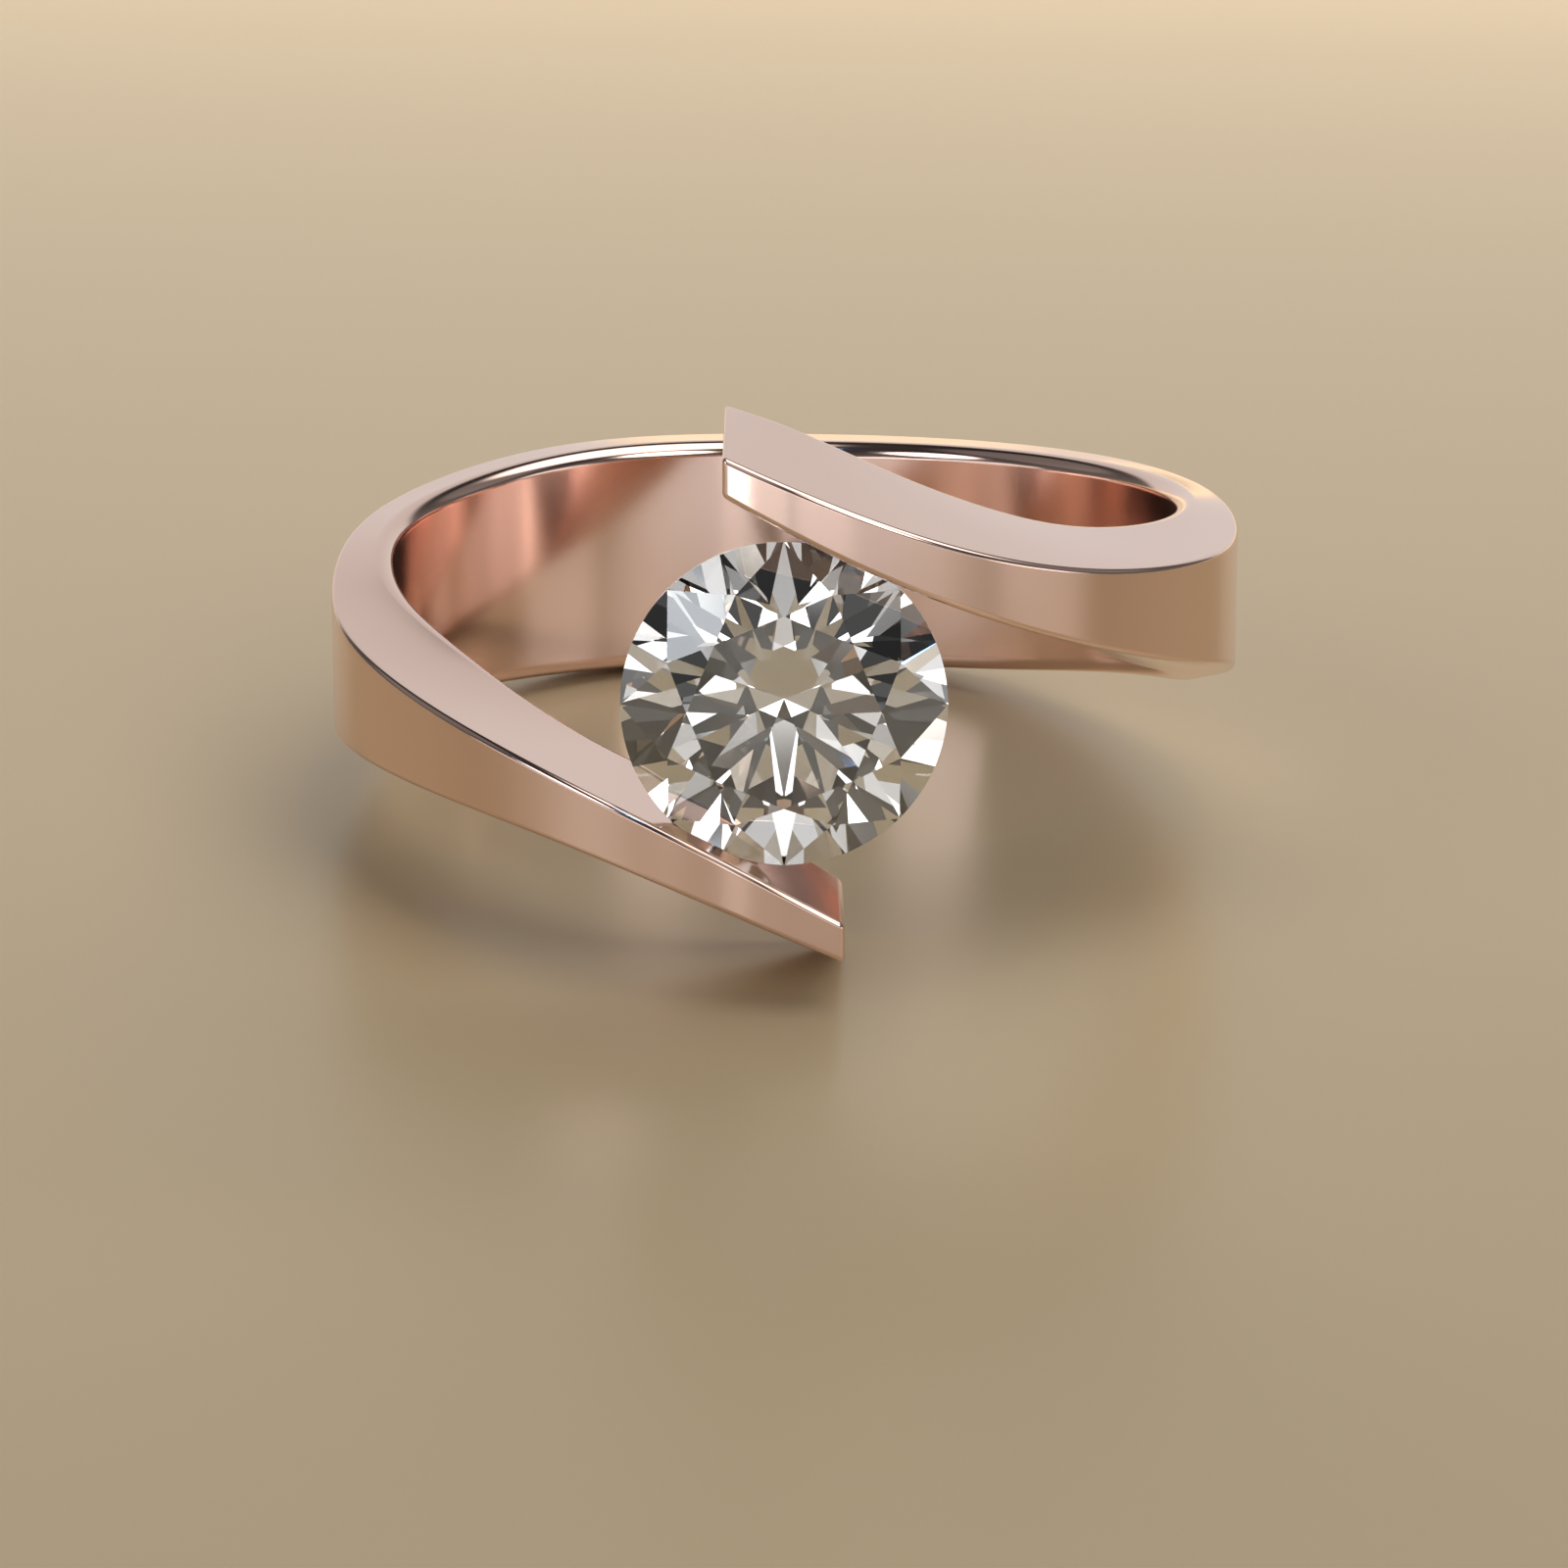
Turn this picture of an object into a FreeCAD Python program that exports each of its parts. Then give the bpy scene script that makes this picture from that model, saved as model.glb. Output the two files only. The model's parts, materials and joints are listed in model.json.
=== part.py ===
import FreeCAD, Part

import math
import os

# Tension set ring. All sizes in millimetres, angles in degrees.
# Ring frame: Z is the finger axis and the stone sits at -Y, looking along -Y.
# The band equals itself after half a turn about the stone's axis, which is the Y axis.
# At the end both pieces are tipped the way the ring rests on its side, and set down on Z = 0.

doc = FreeCAD.newDocument("tension_set_ring")

# Driving dimensions: alias, value, what it is
SIZES = [
    ("finger_radius", 8.65, "radius of the finger hole"),
    ("half_width", 9.92, "half width of the outline across the finger"),
    ("head_reach", 12.77, "finger axis to the outer face at the stone"),
    ("back_reach", 10.38, "finger axis to the outer face at the back"),
    ("inner_round", 0.35, "rounding of the edges against the finger"),
    ("inner_flats", 3, "flats that rounding is made of"),
    ("outer_round", 0.12, "easing of the outer edges"),
    ("outer_flats", 1, "flats that easing is made of"),
    ("tip_side", 1.20, "stone axis to the square end of each arm"),
    ("tip_ease", 0.10, "easing round the end of each arm"),
    ("stone_radius", 3.25, "radius of the stone's girdle"),
    ("girdle_reach", 11.76, "finger axis to the front of the girdle"),
    ("girdle_height", 0.20, "height of the girdle"),
    ("crown_angle", 34.5, "slope of the crown's main facets"),
    ("pavilion_angle", 41.0, "slope of the pavilion's main facets"),
    ("table_share", 0.59, "table corner radius as a share of the girdle's"),
    ("star_share", 0.7654, "star tip radius as a share of the girdle's"),
    ("lower_share", 0.77, "length of the lower facets as a share of the pavilion"),
    ("seat_gap", 0.03, "clearance between the stone and its grooves"),
    ("rest_pitch", 8.39, "how far the stone's side is raised as the ring lies"),
    ("rest_roll", 1.67, "how far the left side is lowered as the ring lies"),
]

sheet = doc.addObject("Spreadsheet::Sheet", "sizes")
for row, (alias, value, meaning) in enumerate(SIZES, start=1):
    sheet.set("A%d" % row, alias)
    sheet.set("B%d" % row, str(value))
    sheet.set("C%d" % row, meaning)
    sheet.setAlias("B%d" % row, alias)
doc.recompute()


def size(alias):
    return float(sheet.get(alias))


# Sections of the band round the finger, from the tip of the upper arm to the tip of the lower arm.
# angle: where the section stands, counted from the stone through the right side
# rise:  height of the top face at its outer edge
# lean:  how much higher the top face is at the finger than at its outer edge
# The bottom face has no table of its own: it is the top face after half a turn about the stone's axis.
SECTIONS = [
    # angle, rise, lean
    (-9, 5.40, 0.31),
    (0, 4.51, 0.79),
    (8, 3.78, 0.99),
    (16, 3.17, 1.04),
    (26, 2.65, 0.95),
    (38, 2.32, 0.74),
    (52, 2.16, 0.62),
    (70, 2.15, 0.56),
    (90, 2.40, 0.33),
    (120, 2.66, 0.03),
    (150, 2.71, 0.00),
    (180, 2.71, 0.00),
    (210, 2.68, 0.00),
    (240, 2.19, 0.03),
    (270, 1.43, 0.23),
    (290, 0.62, 0.35),
    (308, 0.03, 0.14),
    (322, -0.53, -0.18),
    (334, -1.20, -0.29),
    (344, -1.95, -0.12),
    (352, -2.70, 0.08),
    (360, -3.60, 0.20),
    (369, -4.70, 0.38),
]
FULL_TURN = 360


def outer_radius(angle):
    """Distance from the finger axis to the outer face, which is an ellipse set forward."""
    across = size("half_width")
    along = (size("head_reach") + size("back_reach")) / 2
    forward = (size("head_reach") - size("back_reach")) / 2
    side = math.sin(math.radians(angle))
    front = math.cos(math.radians(angle))
    a = (side / across) ** 2 + (front / along) ** 2
    b = -2 * front * forward / along ** 2
    c = (forward / along) ** 2 - 1
    return (-b + math.sqrt(b * b - 4 * a * c)) / (2 * a)


def eased_outline(corners):
    """Closed wire through corners given as (point, radius, flats): each rounding is cut as that many flats."""
    points = []
    for i, (corner, radius, flats) in enumerate(corners):
        before = (corners[i - 1][0] - corner).normalize()
        after = (corners[(i + 1) % len(corners)][0] - corner).normalize()
        half = before.getAngle(after) / 2
        centre = corner + (before + after).normalize() * (radius / math.sin(half))
        start = corner + before * (radius / math.tan(half)) - centre
        end = corner + after * (radius / math.tan(half)) - centre
        axis = start.cross(end)
        sweep = math.degrees(start.getAngle(end))
        for k in range(flats + 1):
            points.append(centre + FreeCAD.Rotation(axis, sweep * k / flats).multVec(start))
    return Part.makePolygon(points + points[:1])


def band_section(angle, top, top_lean, bottom, bottom_lean):
    """Outline of the band where a half plane through the finger axis cuts it."""
    outward = FreeCAD.Vector(math.sin(math.radians(angle)), -math.cos(math.radians(angle)), 0)
    upward = FreeCAD.Vector(0, 0, 1)
    outer = outward * outer_radius(angle)
    inner = outward * size("finger_radius")
    sharp = (size("outer_round"), int(size("outer_flats")))
    soft = (size("inner_round"), int(size("inner_flats")))
    return eased_outline([
        (outer + upward * bottom, *sharp),
        (outer + upward * top, *sharp),
        (inner + upward * (top + top_lean), *soft),
        (inner + upward * (bottom + bottom_lean), *soft),
    ])


def band_blank():
    """The band before its ends are squared and its seat is cut."""
    rises = {angle: (rise, lean) for angle, rise, lean in SECTIONS}
    wires = []
    for angle, rise, lean in SECTIONS:
        turned_rise, turned_lean = rises[FULL_TURN - angle]
        wires.append(band_section(angle, rise, lean, -turned_rise, -turned_lean))
    return Part.makeLoft(wires, True, False)


# Band

blank = doc.addObject("Part::Feature", "band_blank")
blank.Shape = band_blank()

# Boxes that square off the two arms, one over the upper tip and its half turn over the lower one.
TRIM_LENGTH = 4.0
TRIM_DEPTH = 8.0
TRIM_HEIGHT = 8.0
TRIM_FLOOR = 1.5
TRIM_BACK = -7.0


def tip_trim(name, side):
    box = doc.addObject("Part::Box", name)
    box.Length = TRIM_LENGTH
    box.Width = TRIM_DEPTH
    box.Height = TRIM_HEIGHT
    if side < 0:
        box.setExpression("Placement.Base.x", "-sizes.tip_side - %g" % TRIM_LENGTH)
        low = TRIM_FLOOR
    else:
        box.setExpression("Placement.Base.x", "sizes.tip_side")
        low = -TRIM_FLOOR - TRIM_HEIGHT
    box.Placement.Base = FreeCAD.Vector(box.Placement.Base.x, TRIM_BACK - TRIM_DEPTH, low)
    return box


trims = doc.addObject("Part::MultiFuse", "tip_trims")
trims.Shapes = [tip_trim("upper_trim", -1), tip_trim("lower_trim", 1)]

squared = doc.addObject("Part::Cut", "squared_band")
squared.Base = blank
squared.Tool = trims
doc.recompute()

# The edges round both square ends are the ones that lie wholly in an end's plane.
PLANE_TOLERANCE = 1e-4
tip_edges = []
for number, edge in enumerate(squared.Shape.Edges, start=1):
    start, end = edge.ParameterRange
    spots = [edge.valueAt(at) for at in (start, (start + end) / 2, end)]
    if all(abs(abs(spot.x) - size("tip_side")) < PLANE_TOLERANCE for spot in spots):
        tip_edges.append((number, size("tip_ease"), size("tip_ease")))

eased = doc.addObject("Part::Chamfer", "eased_band")
eased.Base = squared
eased.Edges = tip_edges

# Stone

MAINS = 8
MAIN_STEP = 360 / MAINS
HALF_STEP = MAIN_STEP / 2
ROUGH_MARGIN = 1.0
GRINDER = 20.0


def around(radius, azimuth, height):
    """Point at a radius and azimuth about the stone's axis."""
    turn = math.radians(azimuth)
    return FreeCAD.Vector(radius * math.cos(turn), radius * math.sin(turn), height)


def grind(stone, a, b, c):
    """Cut away what lies beyond the plane through three points, on the side away from the axis."""
    normal = (b - a).cross(c - a).normalize()
    heart = FreeCAD.Vector(0, 0, -size("girdle_height") / 2)
    if normal.dot(a - heart) < 0:
        normal = -normal
    wheel = Part.makeBox(GRINDER, GRINDER, GRINDER, FreeCAD.Vector(-GRINDER / 2, -GRINDER / 2, 0))
    wheel.Placement = FreeCAD.Placement(a, FreeCAD.Rotation(FreeCAD.Vector(0, 0, 1), normal))
    return stone.cut(wheel)


def brilliant():
    """Round brilliant with its axis on Z and the front of its girdle at height 0."""
    radius = size("stone_radius")
    rear = -size("girdle_height")
    crown = math.tan(math.radians(size("crown_angle")))
    pavilion = math.tan(math.radians(size("pavilion_angle")))
    half_cos = math.cos(math.radians(HALF_STEP))

    table_radius = size("table_share") * radius
    table_height = (radius - table_radius) * crown
    star_radius = size("star_share") * radius
    star_height = (radius - star_radius * half_cos) * crown
    lower_radius = (1 - size("lower_share")) * radius
    lower_height = rear - (radius - lower_radius * half_cos) * pavilion
    culet = FreeCAD.Vector(0, 0, rear - radius * pavilion)

    depth = table_height - culet.z
    stone = Part.makeCylinder(radius, depth + ROUGH_MARGIN, culet - FreeCAD.Vector(0, 0, ROUGH_MARGIN / 2))
    table = [around(table_radius, azimuth, table_height) for azimuth in (0, 90, 180)]
    stone = grind(stone, *table)
    for i in range(MAINS):
        main = i * MAIN_STEP
        between = main + HALF_STEP
        corner = around(table_radius, main, table_height)
        next_corner = around(table_radius, main + MAIN_STEP, table_height)
        star = around(star_radius, between, star_height)
        last_star = around(star_radius, main - HALF_STEP, star_height)
        low = around(lower_radius, between, lower_height)
        last_low = around(lower_radius, main - HALF_STEP, lower_height)
        stone = grind(stone, corner, star, last_star)
        stone = grind(stone, corner, next_corner, star)
        stone = grind(stone, culet, low, last_low)
        for side in (main, main + MAIN_STEP):
            stone = grind(stone, around(radius, side, 0), around(radius, between, 0), star)
            stone = grind(stone, around(radius, side, rear), around(radius, between, rear), low)
    return stone.Solids[0]


# Seat: the stone's envelope with a little clearance, turned so that the crown looks along -Y.
# It is a cylinder for the girdle between two cones, each as steep as the steepest edge of the
# facets it goes round: those run from the girdle to the star tips and to the lower facets' tips.
STONE_TURN = FreeCAD.Rotation(FreeCAD.Vector(1, 0, 0), 90)
RIM = "(sizes.stone_radius + sizes.seat_gap)"
STEEPEST = "(tan(sizes.%s * 1 deg) * (1 - %s * cos(%g deg)) / (1 - %s))"
CROWN_TAN = STEEPEST % ("crown_angle", "sizes.star_share", HALF_STEP, "sizes.star_share")
LOWER_TIP = "(1 - sizes.lower_share)"
PAVILION_TAN = STEEPEST % ("pavilion_angle", LOWER_TIP, HALF_STEP, LOWER_TIP)

seat_girdle = doc.addObject("Part::Cylinder", "seat_girdle")
seat_girdle.setExpression("Radius", RIM)
seat_girdle.setExpression("Height", "sizes.girdle_height")
seat_girdle.Placement.Rotation = STONE_TURN
seat_girdle.setExpression("Placement.Base.y", "-sizes.girdle_reach + sizes.girdle_height")

seat_crown = doc.addObject("Part::Cone", "seat_crown")
seat_crown.setExpression("Radius1", RIM)
seat_crown.Radius2 = 0
seat_crown.setExpression("Height", RIM + " * " + CROWN_TAN)
seat_crown.Placement.Rotation = STONE_TURN
seat_crown.setExpression("Placement.Base.y", "-sizes.girdle_reach")

seat_pavilion = doc.addObject("Part::Cone", "seat_pavilion")
seat_pavilion.Radius1 = 0
seat_pavilion.setExpression("Radius2", RIM)
seat_pavilion.setExpression("Height", RIM + " * " + PAVILION_TAN)
seat_pavilion.Placement.Rotation = STONE_TURN
seat_pavilion.setExpression(
    "Placement.Base.y",
    "-sizes.girdle_reach + sizes.girdle_height + " + RIM + " * " + PAVILION_TAN,
)

seat = doc.addObject("Part::MultiFuse", "seat")
seat.Shapes = [seat_girdle, seat_crown, seat_pavilion]

band = doc.addObject("Part::Cut", "band")
band.Label = "band"
band.Base = eased
band.Tool = seat

stone = doc.addObject("Part::Feature", "stone")
stone.Label = "stone"
stone.Shape = brilliant()
doc.recompute()

# Rest: both pieces are tipped together about the ring's centre, then set down on Z = 0
# with the middle of the band's box over the origin.
tip = FreeCAD.Rotation(FreeCAD.Vector(0, 1, 0), -size("rest_roll")).multiply(
    FreeCAD.Rotation(FreeCAD.Vector(1, 0, 0), -size("rest_pitch"))
)
in_ring = FreeCAD.Placement(FreeCAD.Vector(0, -size("girdle_reach"), 0), STONE_TURN)


def tight_box(shape, placement):
    moved = shape.copy()
    moved.Placement = placement
    return moved.optimalBoundingBox(True, False)


lying = FreeCAD.Placement(FreeCAD.Vector(), tip)
box = tight_box(band.Shape, lying)
lying.Base = FreeCAD.Vector(-box.Center.x, -box.Center.y, -box.ZMin)
band.Placement = lying
stone.Placement = lying.multiply(in_ring)
doc.recompute()

# Check and write

for item in doc.Objects:
    for fault in ("Invalid", "Error"):
        if fault in item.State:
            raise RuntimeError("%s is %s" % (item.Label, fault))

os.makedirs("parts", exist_ok=True)
for piece in (band, stone):
    if piece.Shape.isNull() or not piece.Shape.isValid() or len(piece.Shape.Solids) != 1:
        raise RuntimeError("%s has no valid solid" % piece.Label)
    piece.Shape.exportStep("parts/%s.step" % piece.Label)
    print(piece.Label, "volume %.2f mm3" % piece.Shape.Volume, "faces", len(piece.Shape.Faces))
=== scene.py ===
import json
import math

import bmesh
import bpy
import numpy as np
from mathutils import Matrix, Vector


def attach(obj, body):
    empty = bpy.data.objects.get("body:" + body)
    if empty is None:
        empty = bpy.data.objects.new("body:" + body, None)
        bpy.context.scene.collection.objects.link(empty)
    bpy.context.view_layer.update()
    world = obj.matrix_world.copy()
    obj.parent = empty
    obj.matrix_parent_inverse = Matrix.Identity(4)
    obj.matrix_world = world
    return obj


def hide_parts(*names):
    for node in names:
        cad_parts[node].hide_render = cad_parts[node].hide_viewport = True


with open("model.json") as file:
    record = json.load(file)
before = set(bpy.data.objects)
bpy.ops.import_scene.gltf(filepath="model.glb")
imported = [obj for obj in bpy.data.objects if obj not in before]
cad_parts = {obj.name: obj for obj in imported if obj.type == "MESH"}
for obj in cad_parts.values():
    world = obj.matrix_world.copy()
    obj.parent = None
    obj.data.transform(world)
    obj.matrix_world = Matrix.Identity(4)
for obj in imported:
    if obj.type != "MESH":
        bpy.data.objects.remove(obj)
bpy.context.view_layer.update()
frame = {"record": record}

# Tension set ring on a pale floor. Places are in metres, and the ring's own sizes are in
# millimetres. Ring frame: Z is the finger axis, and the stone sits at -Y, looking along -Y.
MM = 0.001

# How the ring lies, read from the finger hole's mount: its place, and its axis as a pitch and a roll.
hole = next(mount for mount in frame["record"]["mounts"] if mount["name"] == "finger_hole")
hole_axis = Vector(hole["axis"])
rest_pitch = -math.asin(hole_axis.y)
rest_roll = math.atan2(hole_axis.x, hole_axis.z)
RING_PLACE = (
    Matrix.Translation(hole["pos_m"])
    @ Matrix.Rotation(rest_roll, 4, "Y")
    @ Matrix.Rotation(rest_pitch, 4, "X")
)

# Band sizes
FINGER_RADIUS = 8.65
HALF_WIDTH = 9.92
HEAD_REACH = 12.77
BACK_REACH = 10.38
INNER_ROUND = 0.35
OUTER_ROUND = 0.12
TIP_SIDE = 1.20
TIP_ROUND = 0.10

# Sections of the band round the finger, from the tip of the upper arm to the tip of the lower arm.
# angle: where the section stands, counted from the stone through the right side
# rise:  height of the top face at its outer edge
# lean:  how much higher the top face is at the finger than at its outer edge
# The bottom face is the top face after half a turn about the stone's axis.
SECTIONS = [
    # angle, rise, lean
    (-9, 5.40, 0.31),
    (0, 4.51, 0.79),
    (8, 3.78, 0.99),
    (16, 3.17, 1.04),
    (26, 2.65, 0.95),
    (38, 2.32, 0.74),
    (52, 2.16, 0.62),
    (70, 2.15, 0.56),
    (90, 2.40, 0.33),
    (120, 2.66, 0.03),
    (150, 2.71, 0.00),
    (180, 2.71, 0.00),
    (210, 2.68, 0.00),
    (240, 2.19, 0.03),
    (270, 1.43, 0.23),
    (290, 0.62, 0.35),
    (308, 0.03, 0.14),
    (322, -0.53, -0.18),
    (334, -1.20, -0.29),
    (344, -1.95, -0.12),
    (352, -2.70, 0.08),
    (360, -3.60, 0.20),
    (369, -4.70, 0.38),
]
FULL_TURN = 360

# Faces of the band's skin: along each corner's rounding, along the edge after it, round the finger
# and over the rounding of each tip. BRACE is the width of the narrow row of faces beside a rounding,
# BAND_RUN is about the band's length, and END_PASSES is how often the square end is closed in on.
ARC_STEPS = (6, 6, 10, 10)
EDGE_STEPS = (8, 8, 12, 8)
TURN_ROWS = 420
END_ROWS = 6
BRACE = 0.015
BAND_RUN = 70
END_PASSES = 6
SHARP_ANGLE = 35

# Stone sizes
STONE_RADIUS = 3.25
GIRDLE_REACH = 11.76
GIRDLE_HEIGHT = 0.20
CROWN_ANGLE = 34.5
PAVILION_ANGLE = 41.0
TABLE_SHARE = 0.59
STAR_SHARE = 0.7654
LOWER_SHARE = 0.77
SEAT_GAP = 0.03
MAINS = 8
GIRDLE_SIDES = 160
SEAT_SIDES = 512
BLANK_SPARE = 1
BLANK_FRONT = 2
CUT_SLACK = 1e-5
WELD_REACH = 2e-4


# Helpers

def new_object(name, mesh):
    thing = bpy.data.objects.new(name, mesh)
    bpy.context.scene.collection.objects.link(thing)
    return thing


def mesh_from(name, points, faces):
    mesh = bpy.data.meshes.new(name)
    mesh.from_pydata([tuple(point) for point in points], [], faces)
    mesh.validate()
    shaped = bmesh.new()
    shaped.from_mesh(mesh)
    bmesh.ops.recalc_face_normals(shaped, faces=shaped.faces)
    shaped.to_mesh(mesh)
    shaped.free()
    return mesh


def smooth_curve(xs, ys):
    """The cubic curve through the points, straight at both ends, as a function of x."""
    xs = np.array(xs, dtype=float)
    ys = np.array(ys, dtype=float)
    last = len(xs) - 1
    steps = np.diff(xs)
    slopes = np.diff(ys) / steps
    system = np.eye(last + 1)
    wanted = np.zeros(last + 1)
    for i in range(1, last):
        system[i, i - 1:i + 2] = steps[i - 1], 2 * (steps[i - 1] + steps[i]), steps[i]
        wanted[i] = 6 * (slopes[i] - slopes[i - 1])
    bends = np.linalg.solve(system, wanted)

    def at(x):
        i = np.clip(np.searchsorted(xs, x, side="right") - 1, 0, last - 1)
        step = steps[i]
        a = (xs[i + 1] - x) / step
        b = (x - xs[i]) / step
        bent = ((a ** 3 - a) * bends[i] + (b ** 3 - b) * bends[i + 1]) * step ** 2 / 6
        return a * ys[i] + b * ys[i + 1] + bent

    return at


# Band

ANGLES = [angle for angle, rise, lean in SECTIONS]
rise_at = smooth_curve(ANGLES, [rise for angle, rise, lean in SECTIONS])
lean_at = smooth_curve(ANGLES, [lean for angle, rise, lean in SECTIONS])


def outer_radius(angle):
    """Distance from the finger axis to the outer face, which is an ellipse set forward."""
    along = (HEAD_REACH + BACK_REACH) / 2
    forward = (HEAD_REACH - BACK_REACH) / 2
    side = np.sin(np.radians(angle))
    front = np.cos(np.radians(angle))
    a = (side / HALF_WIDTH) ** 2 + (front / along) ** 2
    b = -2 * front * forward / along ** 2
    c = (forward / along) ** 2 - 1
    return (-b + np.sqrt(b * b - 4 * a * c)) / (2 * a)


def section_stops(angle, inset):
    """Each corner's rounding in the section at an angle, drawn in by inset: its start, end, centre,
    radius, first direction and sweep. Points are (distance from the finger axis, height)."""
    turned = FULL_TURN - angle
    outer = outer_radius(angle) - inset
    inner = FINGER_RADIUS + inset + 0 * angle
    top = rise_at(angle) - inset
    bottom = -rise_at(turned) + inset
    corners = [
        np.stack([outer, bottom], -1),
        np.stack([outer, top], -1),
        np.stack([inner, top + lean_at(angle)], -1),
        np.stack([inner, bottom - lean_at(turned)], -1),
    ]
    radii = [OUTER_ROUND - inset, OUTER_ROUND - inset, INNER_ROUND - inset, INNER_ROUND - inset]
    stops = []
    for i, corner in enumerate(corners):
        before = corners[i - 1] - corner
        after = corners[(i + 1) % 4] - corner
        before /= np.linalg.norm(before, axis=-1, keepdims=True)
        after /= np.linalg.norm(after, axis=-1, keepdims=True)
        half = np.arccos(np.sum(before * after, -1)) / 2
        middle = before + after
        middle /= np.linalg.norm(middle, axis=-1, keepdims=True)
        reach = radii[i] / np.tan(half)
        start = corner + before * reach[..., None]
        end = corner + after * reach[..., None]
        centre = corner + middle * (radii[i] / np.sin(half))[..., None]
        first = np.arctan2(*(start - centre).T[::-1])
        last = np.arctan2(*(end - centre).T[::-1])
        sweep = (last - first + np.pi) % (2 * np.pi) - np.pi
        stops.append((start, end, centre, radii[i], first, sweep))
    return stops


def section_columns():
    """What runs round a section: (corner, share of its arc, None) on a rounding, and
    (corner, share of the edge after it, offset along that edge) between two roundings."""
    columns = []
    for corner in range(4):
        for k in range(ARC_STEPS[corner] + 1):
            columns.append((corner, k / ARC_STEPS[corner], None))
        columns.append((corner, 0, BRACE))
        for k in range(1, EDGE_STEPS[corner]):
            columns.append((corner, k / EDGE_STEPS[corner], 0))
        columns.append((corner, 1, -BRACE))
    return columns


def on_section(column, angle, inset):
    """Distance from the finger axis and height of a column where it meets the section at an angle."""
    corner, share, offset = column
    stops = section_stops(angle, inset)
    start, end, centre, radius, first, sweep = stops[corner]
    if offset is None:
        turn = first + sweep * share
        return centre + radius * np.stack([np.cos(turn), np.sin(turn)], -1)
    run = stops[(corner + 1) % 4][0] - end
    way = run / np.linalg.norm(run, axis=-1, keepdims=True)
    return end + run * share + way * offset


def end_angle(column, side, depth, inset):
    """Angle where a column crosses the plane that lies depth inside an arm's square end."""
    out = TIP_SIDE - depth
    start = 0.0 if side < 0 else FULL_TURN
    angle = np.array([start])
    for _ in range(END_PASSES):
        reach = on_section(column, angle, inset)[..., 0]
        angle = side * np.degrees(np.arcsin(out / reach)) + start
    return float(angle[0])


def band_points():
    """Points of the band's skin, row by row from the upper arm's end to the lower one's."""
    bends = [(k / END_ROWS) * math.pi / 2 for k in range(END_ROWS)]
    tips = [(TIP_ROUND * (1 - math.cos(bend)), TIP_ROUND * (1 - math.sin(bend))) for bend in bends]
    shares = [k / TURN_ROWS for k in range(1, TURN_ROWS)]
    shares = [0, BRACE / BAND_RUN] + shares + [1 - BRACE / BAND_RUN, 1]
    columns = section_columns()
    skin = np.zeros((2 * END_ROWS + len(shares), len(columns), 3))
    for c, column in enumerate(columns):
        first = end_angle(column, -1, TIP_ROUND, 0)
        last = end_angle(column, 1, TIP_ROUND, 0)
        angles = [end_angle(column, -1, depth, inset) for depth, inset in tips]
        angles += [first + (last - first) * share for share in shares]
        angles += [end_angle(column, 1, depth, inset) for depth, inset in reversed(tips)]
        insets = [inset for depth, inset in tips]
        insets = insets + [0] * len(shares) + insets[::-1]
        angles = np.array(angles)
        spots = np.zeros((len(angles), 2))
        for inset in sorted(set(insets)):
            those = np.array([value == inset for value in insets])
            spots[those] = on_section(column, angles[those], inset)
        turn = np.radians(angles)
        skin[:, c, 0] = spots[:, 0] * np.sin(turn)
        skin[:, c, 1] = -spots[:, 0] * np.cos(turn)
        skin[:, c, 2] = spots[:, 1]
    return skin


def band_mesh():
    skin = band_points()
    rows, columns = skin.shape[:2]
    faces = []
    for row in range(rows - 1):
        for column in range(columns):
            beside = (column + 1) % columns
            faces.append((
                row * columns + column,
                row * columns + beside,
                (row + 1) * columns + beside,
                (row + 1) * columns + column,
            ))
    faces.append(tuple(range(columns)))
    faces.append(tuple((rows - 1) * columns + column for column in range(columns)))
    return mesh_from("band_polished", skin.reshape(-1, 3) * MM, faces)


# Stone

HALF_STEP = math.pi / MAINS
CROWN_TAN = math.tan(math.radians(CROWN_ANGLE))
PAVILION_TAN = math.tan(math.radians(PAVILION_ANGLE))
GIRDLE_REAR = -GIRDLE_HEIGHT
CULET = GIRDLE_REAR - STONE_RADIUS * PAVILION_TAN
STONE_SHIFT = Matrix.Translation((0, -GIRDLE_REACH * MM, 0))
STONE_TURN = Matrix.Rotation(math.pi / 2, 4, "X")
STONE_PLACE = RING_PLACE @ STONE_SHIFT @ STONE_TURN


def around(radius, turn, height):
    return Vector((radius * math.cos(turn), radius * math.sin(turn), height))


def turned_mesh(name, outline, segments):
    """Closed mesh of an outline of (radius, height) turned about Z. Radius 0 is one point."""
    points = []
    rings = []
    for radius, height in outline:
        if radius == 0:
            rings.append([len(points)] * segments)
            points.append((0, 0, height))
        else:
            rings.append(list(range(len(points), len(points) + segments)))
            points += [around(radius, 2 * math.pi * k / segments, height) for k in range(segments)]
    faces = []
    for low, high in zip(rings, rings[1:]):
        for k in range(segments):
            after = (k + 1) % segments
            corners = [low[k], low[after], high[after], high[k]]
            faces.append(tuple(dict.fromkeys(corners)))
    for ring in (rings[0], rings[-1]):
        if len(set(ring)) > 1:
            faces.append(tuple(ring))
    return mesh_from(name, points, faces)


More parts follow.
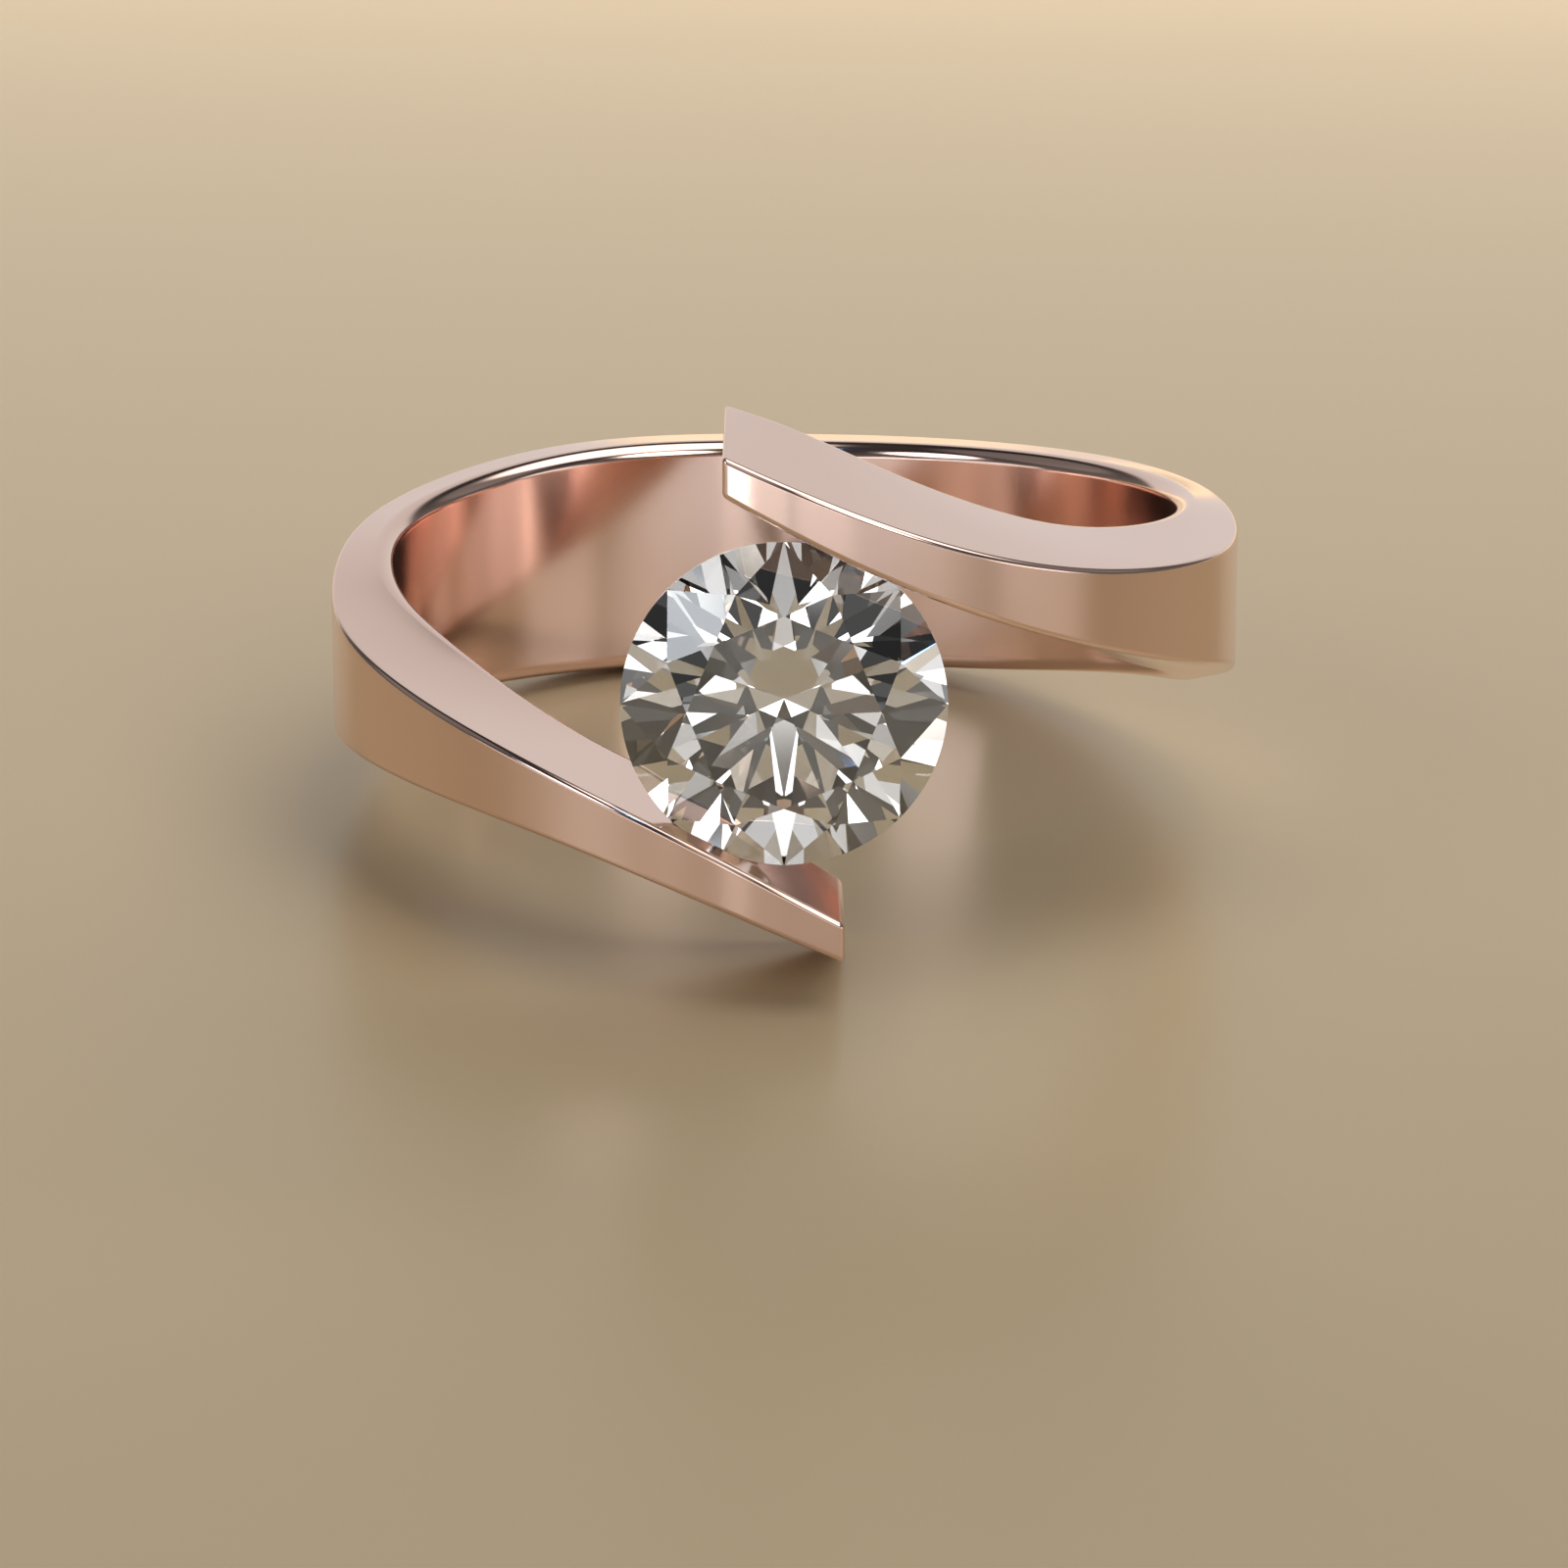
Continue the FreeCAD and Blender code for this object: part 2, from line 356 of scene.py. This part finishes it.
def brilliant_mesh():
    """Round brilliant with its axis on Z and the front of its girdle at height 0, in metres."""
    table_radius = TABLE_SHARE * STONE_RADIUS
    table_height = (STONE_RADIUS - table_radius) * CROWN_TAN
    star_radius = STAR_SHARE * STONE_RADIUS
    star_height = (STONE_RADIUS - star_radius * math.cos(HALF_STEP)) * CROWN_TAN
    lower_radius = (1 - LOWER_SHARE) * STONE_RADIUS
    lower_height = GIRDLE_REAR - (STONE_RADIUS - lower_radius * math.cos(HALF_STEP)) * PAVILION_TAN
    culet = Vector((0, 0, CULET))
    blank = [(STONE_RADIUS, CULET - BLANK_SPARE), (STONE_RADIUS, BLANK_FRONT)]
    rough = turned_mesh("brilliant", blank, GIRDLE_SIDES)
    stone = bmesh.new()
    stone.from_mesh(rough)

    def grind(a, b, c):
        """Cut away what lies outside the plane through three points, and close the cut."""
        normal = (b - a).cross(c - a).normalized()
        if normal.dot(a - Vector((0, 0, GIRDLE_REAR / 2))) < 0:
            normal = -normal
        cut = bmesh.ops.bisect_plane(
            stone, geom=stone.verts[:] + stone.edges[:] + stone.faces[:],
            dist=CUT_SLACK, plane_co=a, plane_no=normal, clear_outer=True,
        )
        rim = [item for item in cut["geom_cut"] if isinstance(item, bmesh.types.BMEdge)]
        bmesh.ops.contextual_create(stone, geom=rim)

    grind(*(around(table_radius, turn, table_height) for turn in (0, math.pi / 2, math.pi)))
    for i in range(MAINS):
        main = 2 * HALF_STEP * i
        between = main + HALF_STEP
        corner = around(table_radius, main, table_height)
        next_corner = around(table_radius, main + 2 * HALF_STEP, table_height)
        star = around(star_radius, between, star_height)
        last_star = around(star_radius, main - HALF_STEP, star_height)
        low = around(lower_radius, between, lower_height)
        last_low = around(lower_radius, main - HALF_STEP, lower_height)
        grind(corner, star, last_star)
        grind(corner, next_corner, star)
        grind(culet, low, last_low)
        for side in (main, main + 2 * HALF_STEP):
            grind(around(STONE_RADIUS, side, 0), around(STONE_RADIUS, between, 0), star)
            rear = [around(STONE_RADIUS, turn, GIRDLE_REAR) for turn in (side, between)]
            grind(*rear, low)
    bmesh.ops.remove_doubles(stone, verts=stone.verts, dist=WELD_REACH)
    bmesh.ops.recalc_face_normals(stone, faces=stone.faces)
    bmesh.ops.scale(stone, verts=stone.verts, vec=(MM, MM, MM))
    stone.to_mesh(rough)
    stone.free()
    return rough


def seat_mesh():
    """The grooves' form: the stone's envelope and a little clearance, in metres."""
    star_run = 1 - STAR_SHARE
    crown_slope = CROWN_TAN * (1 - STAR_SHARE * math.cos(HALF_STEP)) / star_run
    lower_tip = 1 - LOWER_SHARE
    pavilion_slope = PAVILION_TAN * (1 - lower_tip * math.cos(HALF_STEP)) / (1 - lower_tip)
    rim = STONE_RADIUS + SEAT_GAP
    outline = [
        (0, GIRDLE_REAR - rim * pavilion_slope),
        (rim, GIRDLE_REAR),
        (rim, 0),
        (0, rim * crown_slope),
    ]
    mesh = turned_mesh("seat", outline, SEAT_SIDES)
    mesh.transform(Matrix.Scale(MM, 4))
    return mesh


# Materials

# Rose gold: two near colours and two near roughnesses in soft clouds, and fine polish marks.
# Scales are in cells to the metre, and the depth is in metres.
GOLD_DEEP = (0.880, 0.640, 0.555, 1)
GOLD_LIGHT = (0.905, 0.668, 0.585, 1)
GOLD_ROUGHNESS = (0.10, 0.15)
CLOUD_SCALE = 420.0
CLOUD_DETAIL = 3.0
POLISH_SCALE = 7000.0
POLISH_DETAIL = 2.0
POLISH_DEPTH = 0.000001
POLISH_STRENGTH = 0.25

# Diamond: its refraction, and the roughness of the girdle, which is ground and not polished. The
# girdle is where the share of the surface's normal along the stone's axis is near nothing.
DIAMOND_IOR = 2.417
GIRDLE_FROST = 0.25
GIRDLE_FACING = (0.05, 0.20)

# Floor
FLOOR_COLOUR = (0.48, 0.38, 0.235, 1)
FLOOR_ROUGHNESS = 0.32


def new_material(name):
    material = bpy.data.materials.new(name)
    material.use_nodes = True
    return material, material.node_tree.nodes, material.node_tree.links


def rose_gold():
    material, nodes, links = new_material("rose_gold_polished")
    shader = nodes["Principled BSDF"]
    shader.inputs["Metallic"].default_value = 1.0
    place = nodes.new("ShaderNodeTexCoord")

    cloud = nodes.new("ShaderNodeTexNoise")
    cloud.inputs["Scale"].default_value = CLOUD_SCALE
    cloud.inputs["Detail"].default_value = CLOUD_DETAIL
    links.new(place.outputs["Object"], cloud.inputs["Vector"])

    tint = nodes.new("ShaderNodeMix")
    tint.data_type = "RGBA"
    tint.inputs["A"].default_value = GOLD_DEEP
    tint.inputs["B"].default_value = GOLD_LIGHT
    links.new(cloud.outputs["Fac"], tint.inputs["Factor"])
    links.new(tint.outputs["Result"], shader.inputs["Base Color"])

    haze = nodes.new("ShaderNodeMapRange")
    haze.inputs["To Min"].default_value = GOLD_ROUGHNESS[0]
    haze.inputs["To Max"].default_value = GOLD_ROUGHNESS[1]
    links.new(cloud.outputs["Fac"], haze.inputs["Value"])
    links.new(haze.outputs["Result"], shader.inputs["Roughness"])

    grain = nodes.new("ShaderNodeTexNoise")
    grain.inputs["Scale"].default_value = POLISH_SCALE
    grain.inputs["Detail"].default_value = POLISH_DETAIL
    links.new(place.outputs["Object"], grain.inputs["Vector"])
    relief = nodes.new("ShaderNodeBump")
    relief.inputs["Strength"].default_value = POLISH_STRENGTH
    relief.inputs["Distance"].default_value = POLISH_DEPTH
    links.new(grain.outputs["Fac"], relief.inputs["Height"])
    links.new(relief.outputs["Normal"], shader.inputs["Normal"])
    return material


def diamond():
    material, nodes, links = new_material("diamond_clear")
    shader = nodes["Principled BSDF"]
    shader.inputs["Base Color"].default_value = (1, 1, 1, 1)
    shader.inputs["IOR"].default_value = DIAMOND_IOR
    shader.inputs["Transmission Weight"].default_value = 1.0

    surface = nodes.new("ShaderNodeNewGeometry")
    facing = nodes.new("ShaderNodeVectorMath")
    facing.operation = "DOT_PRODUCT"
    facing.inputs[1].default_value = STONE_PLACE.to_3x3() @ Vector((0, 0, 1))
    links.new(surface.outputs["Normal"], facing.inputs[0])
    size = nodes.new("ShaderNodeMath")
    size.operation = "ABSOLUTE"
    links.new(facing.outputs["Value"], size.inputs[0])
    frost = nodes.new("ShaderNodeMapRange")
    frost.inputs["From Min"].default_value = GIRDLE_FACING[0]
    frost.inputs["From Max"].default_value = GIRDLE_FACING[1]
    frost.inputs["To Min"].default_value = GIRDLE_FROST
    frost.inputs["To Max"].default_value = 0.0
    links.new(size.outputs["Value"], frost.inputs["Value"])
    links.new(frost.outputs["Result"], shader.inputs["Roughness"])
    return material


def floor_finish():
    material, nodes, _ = new_material("floor_pale")
    shader = nodes["Principled BSDF"]
    shader.inputs["Base Color"].default_value = FLOOR_COLOUR
    shader.inputs["Roughness"].default_value = FLOOR_ROUGHNESS
    return material


# Pieces

def cut_seat(thing):
    """Cut the grooves for the stone's edge into both arms."""
    cutter = new_object("seat_cutter", seat_mesh())
    cutter.matrix_world = STONE_SHIFT @ STONE_TURN
    cut = thing.modifiers.new("seat", "BOOLEAN")
    cut.operation = "DIFFERENCE"
    cut.solver = "EXACT"
    cut.object = cutter
    bpy.context.view_layer.update()
    ready = bpy.context.evaluated_depsgraph_get()
    shaped = bpy.data.meshes.new_from_object(thing.evaluated_get(ready))
    thing.modifiers.remove(cut)
    thing.data = shaped
    bpy.data.objects.remove(cutter)


band = new_object("band_polished", band_mesh())
cut_seat(band)
band.data.transform(RING_PLACE)
for face in band.data.polygons:
    face.use_smooth = True
band.data.set_sharp_from_angle(angle=math.radians(SHARP_ANGLE))
band.data.materials.append(rose_gold())
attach(band, "root")
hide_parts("band")

stone = new_object("stone_brilliant", brilliant_mesh())
stone.data.transform(STONE_PLACE)
stone.data.materials.append(diamond())
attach(stone, "root")
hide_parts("stone")


# Floor, light and camera

FLOOR_HALF = 0.8
FLOOR_CORNERS = [(x * FLOOR_HALF, y * FLOOR_HALF, 0) for x, y in ((-1, -1), (1, -1), (1, 1), (-1, 1))]
floor = new_object("floor", mesh_from("floor", FLOOR_CORNERS, [(0, 1, 2, 3)]))
floor.data.materials.append(floor_finish())

# The room's light by height: sine of the elevation, then the brightness there
ROOM = [
    # sine, brightness
    (-0.10, 0.12),
    (0.10, 0.13),
    (0.40, 0.06),
    (0.60, 0.02),
    (1.00, 0.03),
]

# Colours of the lamps. The room is white.
WHITE = (1.0, 0.985, 0.97)
WARM = (1.0, 0.95, 0.88)
COOL = (0.90, 0.95, 1.0)
BLUE = (0.15, 0.40, 1.0)
AMBER = (1.0, 0.45, 0.12)

# Panels of light round the horizon. azimuth is counted from the camera's side through the right, half
# is half of the width, foot is None for a panel that goes down behind the floor, and all but the
# brightness are in degrees.
PANELS = [
    # azimuth, half, foot, top, edge, brightness, tint
    (180, 31, None, 34, 8, 0.60, WHITE),
    (43, 39, None, 5, 3, 0.66, WHITE),
    (-42, 42, None, 5, 3, 0.76, WHITE),
    (74, 11, None, 10, 7, 0.85, WHITE),
    (-14, 32, 3, 5.5, 2, 0.95, WHITE),
    (-32, 9, 9, 12, 2, 1.60, WHITE),
    (-62, 16, 7, 9, 3, 0.60, WHITE),
]

# One narrow strip, measured as a panel is, that lights the upper arm's tip. FRONT_EDGE keeps it to
# its own side of the room: it comes in over that much of the cosine.
# azimuth, half, top, edge, brightness, tint
STRIP = (-13, 2.5, 6, 2, 1.80, WHITE)
FRONT_EDGE = 0.1

# Round soft lamps: radius and edge are in degrees. The two small coloured ones give the stone its fire.
GLOWS = [
    # azimuth, elevation, radius, edge, brightness, tint
    (100, 69, 24, 9, 1.80, WHITE),
    (40, 33, 11, 4, 3.40, WARM),
    (-54, 32, 12, 4, 2.80, COOL),
    (0, 38, 8, 6, 0.65, WHITE),
    (112, 38, 18, 10, 0.15, WHITE),
    (-112, 38, 18, 10, 0.15, WHITE),
    (-24, 66, 2, 1, 16.0, BLUE),
    (30, 70, 2, 1, 12.0, AMBER),
]


def direction(azimuth, elevation):
    turn = math.radians(azimuth)
    lift = math.radians(elevation)
    across = math.cos(lift)
    return Vector((math.sin(turn) * across, -math.cos(turn) * across, math.sin(lift)))


def studio():
    """The room round the ring: its own light by height, then the panels, the strip and the lamps."""
    world = bpy.data.worlds.new("studio")
    world.use_nodes = True
    nodes = world.node_tree.nodes
    links = world.node_tree.links
    look = nodes.new("ShaderNodeTexCoord").outputs["Generated"]

    def dot(vector):
        node = nodes.new("ShaderNodeVectorMath")
        node.operation = "DOT_PRODUCT"
        node.inputs[1].default_value = vector
        links.new(look, node.inputs[0])
        return node.outputs["Value"]

    def maths(operation, first, second):
        node = nodes.new("ShaderNodeMath")
        node.operation = operation
        for socket, value in zip(node.inputs, (first, second)):
            if isinstance(value, (int, float)):
                socket.default_value = value
            else:
                links.new(value, socket)
        return node.outputs["Value"]

    def fade(value, start, end, most=1.0):
        node = nodes.new("ShaderNodeMapRange")
        node.interpolation_type = "SMOOTHSTEP"
        node.inputs["From Min"].default_value = start
        node.inputs["From Max"].default_value = end
        node.inputs["To Max"].default_value = most
        links.new(value, node.inputs["Value"])
        return node.outputs["Result"]

    def add_light(total, strength, tint):
        light = nodes.new("ShaderNodeMix")
        light.data_type = "RGBA"
        light.blend_type = "ADD"
        light.clamp_factor = False
        light.inputs["B"].default_value = (*tint, 1)
        links.new(total, light.inputs["A"])
        links.new(strength, light.inputs["Factor"])
        return light.outputs["Result"]

    def cosine(degrees):
        return math.cos(math.radians(degrees))

    def sine(degrees):
        return math.sin(math.radians(degrees))

    upward = dot((0, 0, 1))
    height = nodes.new("ShaderNodeMapRange")
    height.inputs["From Min"].default_value = -1
    links.new(upward, height.inputs["Value"])
    ramp = nodes.new("ShaderNodeValToRGB")
    links.new(height.outputs["Result"], ramp.inputs["Fac"])
    stops = ramp.color_ramp.elements
    while len(stops) < len(ROOM):
        stops.new(0.5)
    for stop, (level, brightness) in zip(stops, ROOM):
        stop.position = (level + 1) / 2
        stop.color = (*(brightness * share for share in WHITE), 1)
    total = ramp.outputs["Color"]

    for azimuth, half, foot, top, edge, brightness, tint in PANELS:
        across = fade(dot(direction(azimuth, 0)), cosine(half + edge), cosine(half), brightness)
        shown = maths("MULTIPLY", across, fade(upward, sine(top + edge), sine(top)))
        if foot is not None:
            shown = maths("MULTIPLY", shown, fade(upward, sine(foot - edge), sine(foot)))
        total = add_light(total, shown, tint)

    azimuth, half, top, edge, brightness, tint = STRIP
    aside = maths("ABSOLUTE", dot(direction(azimuth + 90, 0)), 0)
    across = fade(aside, sine(half + edge), sine(half), brightness)
    below = fade(upward, sine(top + edge), sine(top))
    front = fade(dot(direction(azimuth, 0)), 0.0, FRONT_EDGE)
    total = add_light(total, maths("MULTIPLY", maths("MULTIPLY", across, below), front), tint)

    for azimuth, elevation, radius, edge, brightness, tint in GLOWS:
        toward = dot(direction(azimuth, elevation))
        shown = fade(toward, cosine(radius + edge), cosine(radius), brightness)
        total = add_light(total, shown, tint)
    links.new(total, nodes["Background"].inputs["Color"])
    return world


# A wide soft lamp that lights the floor behind the ring
FAR_LAMP_PLACE = (0, 0.26, 0.09)
FAR_LAMP_SIZE = (0.36, 0.10)
FAR_LAMP_POWER = 1.7
FAR_LAMP_COLOUR = (1.0, 0.90, 0.76)


def far_lamp():
    light = bpy.data.lights.new("far_lamp", "AREA")
    light.shape = "RECTANGLE"
    light.size, light.size_y = FAR_LAMP_SIZE
    light.energy = FAR_LAMP_POWER
    light.color = FAR_LAMP_COLOUR
    thing = new_object("far_lamp", light)
    thing.location = FAR_LAMP_PLACE
    thing.visible_glossy = False
    thing.visible_transmission = False


bpy.context.scene.world = studio()
far_lamp()
bpy.context.scene.view_settings.view_transform = "Standard"

# Camera in the ring frame: how far in front of the finger axis, how high and how far it looks down
CAMERA_BACK = 100.0
CAMERA_RISE = 16.150
CAMERA_PITCH = 11.373
FOCAL_PIXELS = 4621.2
PHOTO_PIXELS = 1600
SENSOR_WIDTH = 36.0
NEAREST = 0.001
FARTHEST = 10
camera = new_object("camera", bpy.data.cameras.new("camera"))
camera.data.sensor_width = SENSOR_WIDTH
camera.data.lens = FOCAL_PIXELS / PHOTO_PIXELS * SENSOR_WIDTH
camera.data.clip_start = NEAREST
camera.data.clip_end = FARTHEST
camera.matrix_world = (
    RING_PLACE
    @ Matrix.Translation((0, -CAMERA_BACK * MM, CAMERA_RISE * MM))
    @ Matrix.Rotation(math.radians(90 - CAMERA_PITCH), 4, "X")
)
bpy.context.scene.camera = camera
